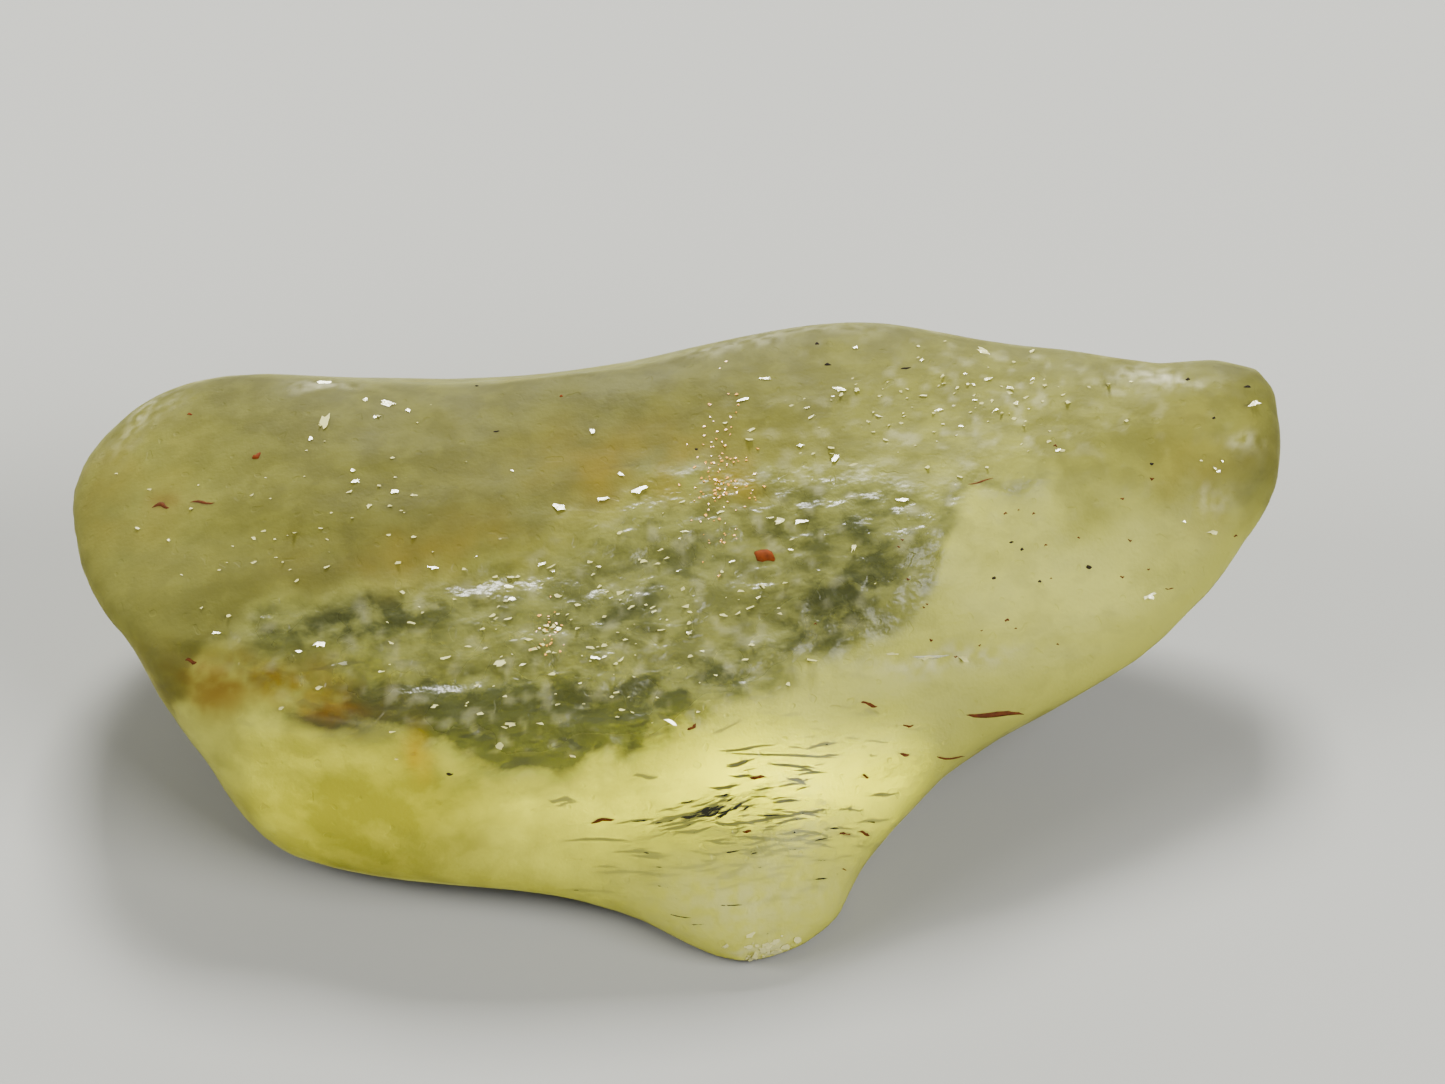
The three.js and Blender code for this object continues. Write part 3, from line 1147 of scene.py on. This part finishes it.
@dataclass
class Studio:
    """A pale table under soft lights, with the camera in front and above."""

    view_width: float = 40.476  # mm across the whole picture at the stone
    aim: Pair = (2.031, 1.905)  # mm along and up the outline plane
    distance: float = 230.0  # mm
    sensor: float = 36.0  # mm
    table_reach: float = 3.0  # metres each way
    surround: str = "E4E4E0"
    surround_strength: float = 0.12
    lit_height: float = 4.0  # mm up, where the lights point

    def build(self) -> None:
        """Builds the table, the lights and the camera."""
        self._table()
        self._softbox("key", (-4, 206, 217), (84, 74), 0.98)  # from behind, through the prow
        self._softbox("sky", (10, 300, 90), (260, 90), 0.24)  # along the top edge
        self._softbox("fill", (195, -115, 180), (220, 160), 0.76)
        self._softbox("left", (-230, -40, 130), (120, 120), 0.4)
        self._world()
        self._camera()
        scene = bpy.context.scene
        # Light that the stone would focus on the table stays off, so its shadow is clean.
        scene.cycles.caustics_refractive = False
        scene.view_settings.view_transform = "AgX"
        scene.view_settings.look = "AgX - Medium High Contrast"

    def _table(self) -> None:
        """A wide flat table top."""
        mesh = bpy.data.meshes.new("table_top")
        reach = self.table_reach
        corners = [(-reach, -reach, 0), (reach, -reach, 0), (reach, reach, 0), (-reach, reach, 0)]
        mesh.from_pydata(corners, [], [(0, 1, 2, 3)])
        table = placed("table_top", mesh)
        mesh.materials.append(MatteCard().make())

    def _softbox(self, name: str, place: Triple, size: Pair, power: float) -> None:
        """Adds a rectangular soft light that faces the stone.

        Args:
            name: The light's name.
            place: Where it is, in millimetres.
            size: Its width and height, in millimetres.
            power: Its power in watts.
        """
        light = bpy.data.lights.new(name, "AREA")
        light.shape = "RECTANGLE"
        light.size = size[0] * MM
        light.size_y = size[1] * MM
        light.energy = power
        lamp = placed(name, light)
        lamp.location = Vector(place) * MM
        towards = Vector((0, 0, self.lit_height)) * MM - lamp.location
        lamp.rotation_euler = towards.to_track_quat("-Z", "Y").to_euler()

    def _world(self) -> None:
        """A dim even surround."""
        world = bpy.data.worlds.new("surround")
        world.use_nodes = True
        back = world.node_tree.nodes["Background"]
        back.inputs[0].default_value = linear(self.surround)
        back.inputs[1].default_value = self.surround_strength
        bpy.context.scene.world = world

    def _camera(self) -> None:
        """A long lens that looks square onto the outline plane."""
        data = bpy.data.cameras.new("camera")
        data.sensor_width = self.sensor
        data.lens = self.sensor * self.distance / self.view_width
        data.clip_start = 0.01
        camera = placed("camera", data)
        target = PLANE.place(*self.aim) * MM
        camera.location = target + PLANE.out * self.distance * MM
        camera.rotation_euler = (-PLANE.out).to_track_quat("-Z", "Y").to_euler()
        bpy.context.scene.camera = camera


RUST_NEEDLES = laid(
    0.01,
    (9.7, -2.9, 1.9, 0.2, -1), (6.1, -2.6, 0.55, 0.13, -12), (7.2, -3.2, 0.38, 0.12, 6),
    (7.1, -4, 0.4, 0.1, -2), (8.4, -4.1, 0.9, 0.14, -2), (6, -4.6, 0.25, 0.1, -15),
    (6, -6.2, 0.5, 0.11, -14), (5.4, -6.2, 0.5, 0.09, 3), (5.4, -7.2, 0.5, 0.08, -14),
    (14.6, 0.6, 0.35, 0.07, 0), (-12.5, 3, 0.75, 0.12, 0), (-13.7, 2.9, 0.5, 0.2, 0),
    (-12.7, -1.4, 0.35, 0.16, -8), (1.2, -3.2, 0.35, 0.12, 40), (-1.3, -5.8, 0.7, 0.13, 10),
    (2.7, -6.1, 0.3, 0.1, -5), (3, -4.6, 0.5, 0.12, -3), (9.3, 3.6, 0.9, 0.09, 12),
)
RUST_FLECKS = laid(
    0.0,
    (3.2, 1.5, 0.6, 0.42, -20), (-11, 4.3, 0.28, 0.26, 35), (-13, 5.5, 0.15, 0.1, 0),
    (-2.5, 6, 0.1, 0.08, 0),
)
DARK_STREAKS = tuple(
    Streak(*place)
    for place in (
        (3.7, -4, 3.2, 0.08, 0.05, -3), (2.7, -3.8, 1.6, 0.1, 0.05, 6),
        (3.9, -4.3, 1.3, 0.09, 0.05, -9), (4.5, -4.5, 0.9, 0.08, 0.05, 4),
        (4.1, -4.7, 0.6, 0.12, 0.1, -20), (4.1, -6.3, 1.1, 0.08, 0.02, 10),
        (3.9, -6.6, 1.2, 0.07, 0.02, 4), (4.1, -6.8, 0.9, 0.06, 0.02, -6),
        (-1.5, -6.4, 1.9, 0.1, 0.2, 1), (-1.9, -8, 1.2, 0.08, 0.1, 6),
        (-2.4, -5.3, 0.8, 0.16, 0.2, 0), (-2.3, -5.4, 0.6, 0.1, 0.2, 10),
        (-0.1, -4.6, 0.7, 0.12, 0.2, -4), (11.6, -1.3, 1.1, 0.1, 0.1, 2),
        (5.8, -1.8, 1, 0.12, 0.15, -4), (6.2, -2.8, 0.5, 0.16, 0.2, 0),
        (13.2, -0.6, 0.3, 0.06, 0.02, 4), (2.4, -7.2, 0.9, 0.12, 0.2, 20),
        (-0.8, -7.3, 1.2, 0.1, 0.2, 6),
    )
)
PALE_VEILS = laid(
    0.03,
    (-7.3, -2.7, 2.2, 0.1, 3), (-3.6, -0.8, 1.4, 0.13, 5), (-3.4, -1.05, 0.9, 0.08, 0),
    (-13.8, -2.2, 1.3, 0.13, 18), (-5.4, -2.9, 1, 0.08, -3), (-11.2, -3.1, 0.8, 0.1, -20),
    (-8.6, -1.5, 1.5, 0.16, 8), (-6.6, -1.4, 1.1, 0.1, 2), (-1, 4, 1.6, 0.08, 10),
    (7.9, -1.25, 1.8, 0.16, 3), (6.9, -0.95, 1.2, 0.1, 6), (12.9, -0.1, 0.7, 0.08, 4),
    (-2.2, -3.6, 0.8, 0.1, -25), (-4.9, -3.4, 0.7, 0.1, 20), (2.2, -3.2, 1, 0.06, 24),
)
DARK_PITS = laid(
    0.0,
    (14.1, 4.1, 0.12, 0.11, 0), (12.3, 1.2, 0.17, 0.12, 0), (9.6, 0.9, 0.12, 0.1, 0),
    (10.9, 0.8, 0.1, 0.08, 0), (15.9, 5.4, 0.1, 0.09, 0), (16.9, 6.3, 0.22, 0.1, 0),
    (4.7, 7.5, 0.12, 0.12, 0), (5, 6.9, 0.2, 0.1, 0), (7.2, 6.8, 0.3, 0.08, 8),
    (1.3, 4.5, 0.1, 0.08, 0), (10.1, 1.9, 0.14, 0.06, 10), (10.4, 1.7, 0.1, 0.08, 0),
    (-4.9, 6.3, 0.12, 0.07, 0), (-4.3, 5, 0.18, 0.06, 8), (-5.5, -4.5, 0.2, 0.1, 0),
    (15.2, 6.5, 0.14, 0.1, 0),
)
PALE_BRUISES = laid(
    -0.02,
    (17, 5.8, 0.8, 0.25, 5), (-9.1, 5.3, 0.62, 0.36, 85), (-7.4, 5.8, 0.62, 0.2, -8),
    (-8, 5.9, 0.2, 0.15, 0), (-6.8, 5.6, 0.25, 0.14, 0), (-7.7, 5.4, 0.2, 0.14, 0),
    (-9.5, 4.8, 0.25, 0.17, 60), (-9.2, 6.4, 0.5, 0.16, 0), (-8.2, 3.6, 0.3, 0.15, 5),
    (-7.1, 3.3, 0.35, 0.17, 0), (-7.8, 2.9, 0.18, 0.14, 40), (-8.3, 3.9, 0.2, 0.1, 0),
    (-12, -0.6, 0.35, 0.15, 10), (-9.1, -0.9, 0.5, 0.3, 20), (-9.7, -1.1, 0.25, 0.16, 10),
    (-9.1, -2.1, 0.35, 0.2, 25), (-10.2, -2.7, 0.3, 0.12, 30), (-2.5, 2.9, 0.45, 0.28, -10),
    (-1.6, 5, 0.2, 0.22, 0), (-1.3, 3.1, 0.5, 0.15, 0), (-0.3, 3.4, 0.6, 0.32, 20),
    (-0.8, 3.8, 0.3, 0.15, -30), (-3, 1.3, 0.35, 0.2, 25), (-2.7, 1.1, 0.2, 0.13, 0),
    (-6, 1.2, 0.4, 0.16, -10), (-5.9, -2.6, 0.35, 0.14, 15), (-3.8, -3.1, 0.4, 0.24, -5),
    (-4.1, -3.7, 0.35, 0.25, -10), (-2.1, -4, 0.25, 0.12, -10), (0.5, -3, 0.7, 0.14, -30),
    (1.1, -0.6, 0.25, 0.2, 0), (-4.1, -1.4, 0.5, 0.25, 30), (-2.5, -0.5, 0.2, 0.16, 0),
    (-1.5, -1.3, 0.35, 0.12, -8), (15.8, 2.2, 0.45, 0.28, -5), (15, 2.5, 0.2, 0.1, -30),
    (14, 0.4, 0.5, 0.3, 0), (15.5, 4.2, 0.15, 0.07, -35), (15.9, 4, 0.22, 0.08, -45),
    (16.1, 4.2, 0.15, 0.08, -45), (16, 3.9, 0.16, 0.1, 0), (9.4, 7.3, 0.5, 0.2, -25),
    (9.5, 6.5, 0.4, 0.12, 0), (5.3, 6.2, 0.6, 0.18, -10), (5.8, 6.2, 0.25, 0.2, 0),
    (5.2, 4.3, 0.5, 0.18, 60), (5.8, 7.4, 0.2, 0.12, 0), (3.2, 6.5, 0.5, 0.12, 0),
    (2.6, 5.9, 0.4, 0.12, 12), (10.3, 5.8, 0.2, 0.16, 0), (4.2, 2.5, 0.6, 0.3, 10),
    (5.7, 1.8, 0.5, 0.14, 70), (3.6, 2.5, 0.4, 0.22, 20), (7.1, 3.1, 0.6, 0.2, 0),
    (2.7, -9.8, 0.5, 0.25, 15), (3.2, -9.4, 0.45, 0.25, 20), (3.9, -9.5, 0.3, 0.2, 10),
    (3.5, -9.2, 0.3, 0.16, 40), (8.7, -1.3, 0.5, 0.25, -20), (7.7, -1.3, 0.8, 0.18, 5),
    (6.7, -1.2, 0.6, 0.15, 0),
)
# Where streaks, flakes and specks are scattered.
WISP = Patch(1.0, -5.7, 1.2, 0.3, 1.0, 12.0)  # a feathery wisp's long thin tail
WISP_HEAD = Patch(1.8, -5.45, 0.7, 0.25, 1.0, 12.0)  # and its denser head
PROW = Patch(3.5, -6.0, 2.7, 2.0)
PROW_FOOT = Patch(2.4, -7.5, 3.2, 1.5)
PROW_EDGE = Patch(3.2, -9.4, 1.1, 0.4, 1.0, 14.0)
PROW_LEFT = Patch(0.0, -7.3, 2.6, 0.8)
PROW_RIGHT = Patch(6.0, -3.6, 3.0, 1.2)
RIGHT_LOBE = Patch(10.0, 1.0, 4.5, 3.0)
RIGHT_EDGE_OF_BAND = Patch(8.5, 2.0, 2.5, 1.5)
GOLDEN_SPOT = Patch(2.0, 3.9, 0.9, 2.0)
SMALL_GOLDEN_SPOT = Patch(-2.8, -0.6, 0.4, 0.8)
MIDDLE = Patch(-1.0, -0.5, 6.5, 2.8)
TOP_RIGHT = Patch(8.0, 5.6, 5.0, 1.8)
TOP_LEFT = Patch(-9.0, 3.0, 5.5, 3.0)


def inclusions() -> tuple[tuple[Inclusions, Finish], ...]:
    """Lists every kind of inclusion and chip with its finish, in the order of building."""
    rust = EarthyOxide("Iron_oxide_needles", "864812", "3A1C0A")
    bright_rust = EarthyOxide("Iron_oxide_flecks", "A2521A", "5E2A0A")
    smoky = EarthyOxide("Smoky_schlieren", "3E3E26", "1C1D13")
    dusty = EarthyOxide("Dust_filled_pits", "3C3220", "1C180E")
    chipped = ChippedGlass()
    golden = ChippedGlass("Golden_flakes", "ECB058", 0.22)
    veiled = EarthyOxide("Bruised_glass_veils", "D6D6B4", "9C9C78", roughness=0.35)
    specks = scattered(RIGHT_LOBE, 26, (0.06, 0.15), 1.8, (-20, 20), 0.0)
    flakes = (
        *scattered(GOLDEN_SPOT, 130, (0.06, 0.15), 1.3, (-40, 40), -0.01),
        *scattered(SMALL_GOLDEN_SPOT, 30, (0.06, 0.14), 1.3, (-40, 40), -0.01),
    )
    streaks = (
        *DARK_STREAKS,
        *scattered(WISP, 34, (0.35, 1.3), 13.0, (8, 24), 0.02),
        *scattered(WISP_HEAD, 22, (0.2, 0.6), 6.0, (4, 30), 0.01),
        *scattered(PROW, 130, (0.2, 1.0), 9.0, (-14, 16), 0.025),
        *scattered(PROW_FOOT, 26, (0.3, 1.2), 15.0, (-8, 16), 0.01),
        *scattered(PROW_LEFT, 18, (0.4, 1.4), 13.0, (-4, 14), 0.03),
        *scattered(PROW_RIGHT, 18, (0.2, 0.7), 10.0, (-10, 8), 0.05),
        *scattered(RIGHT_EDGE_OF_BAND, 20, (0.12, 0.45), 8.0, (-10, 14), 0.03),
    )
    veils = (*PALE_VEILS, *scattered(MIDDLE, 26, (0.25, 0.8), 9.0, (-10, 20), 0.03))
    chips = (
        *scattered(MIDDLE, 150, (0.08, 0.42), 2.6, (-12, 26), -0.01),
        *scattered(PROW_EDGE, 28, (0.1, 0.4), 1.7, (-20, 50), -0.02),
        *scattered(TOP_RIGHT, 110, (0.07, 0.36), 2.6, (-14, 30), -0.01),
        *scattered(TOP_LEFT, 54, (0.07, 0.26), 2.4, (-12, 24), -0.01),
    )
    return (
        (StreakBundle("rust_needles", Slot.RUST, RUST_NEEDLES), rust),
        (StreakBundle("rust_flecks", Slot.RUST, RUST_FLECKS, rings=5, bend=0.1), bright_rust),
        (StreakBundle("rust_specks", Slot.RUST, specks), rust),
        (ChipField("ochre_flakes", Slot.RUST, flakes, tilt=0.12, corners=5), golden),
        (StreakBundle("dark_streaks", Slot.DARK, streaks), smoky),
        (StreakBundle("dark_pits", Slot.DARK, DARK_PITS, rings=5, bend=0.1), dusty),
        (StreakBundle("pale_veils", Slot.PALE, veils, rings=9, bend=0.2), veiled),
        (ChipField("pale_bruises", Slot.PALE, PALE_BRUISES, tilt=0.06, corners=11), chipped),
        (ChipField("pale_specks", Slot.PALE, chips, tilt=0.3, corners=7), chipped),
    )


def main() -> None:
    """Builds the stone and its setting."""
    logging.basicConfig(level=logging.INFO, format="%(name)s: %(message)s")
    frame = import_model()
    skin = StoneSkin()
    stone = skin.build(frame["nodes"]["desert_glass"])
    skin.dress(WornSilicaGlass())
    LOG.info("%s has %d points", stone.name, len(stone.data.vertices))
    for pieces, finish in inclusions():
        pieces.build(skin)
        pieces.dress(finish)
        LOG.info("%s is in place", pieces.name)
    Studio().build()


if __name__ == "__main__":
    main()
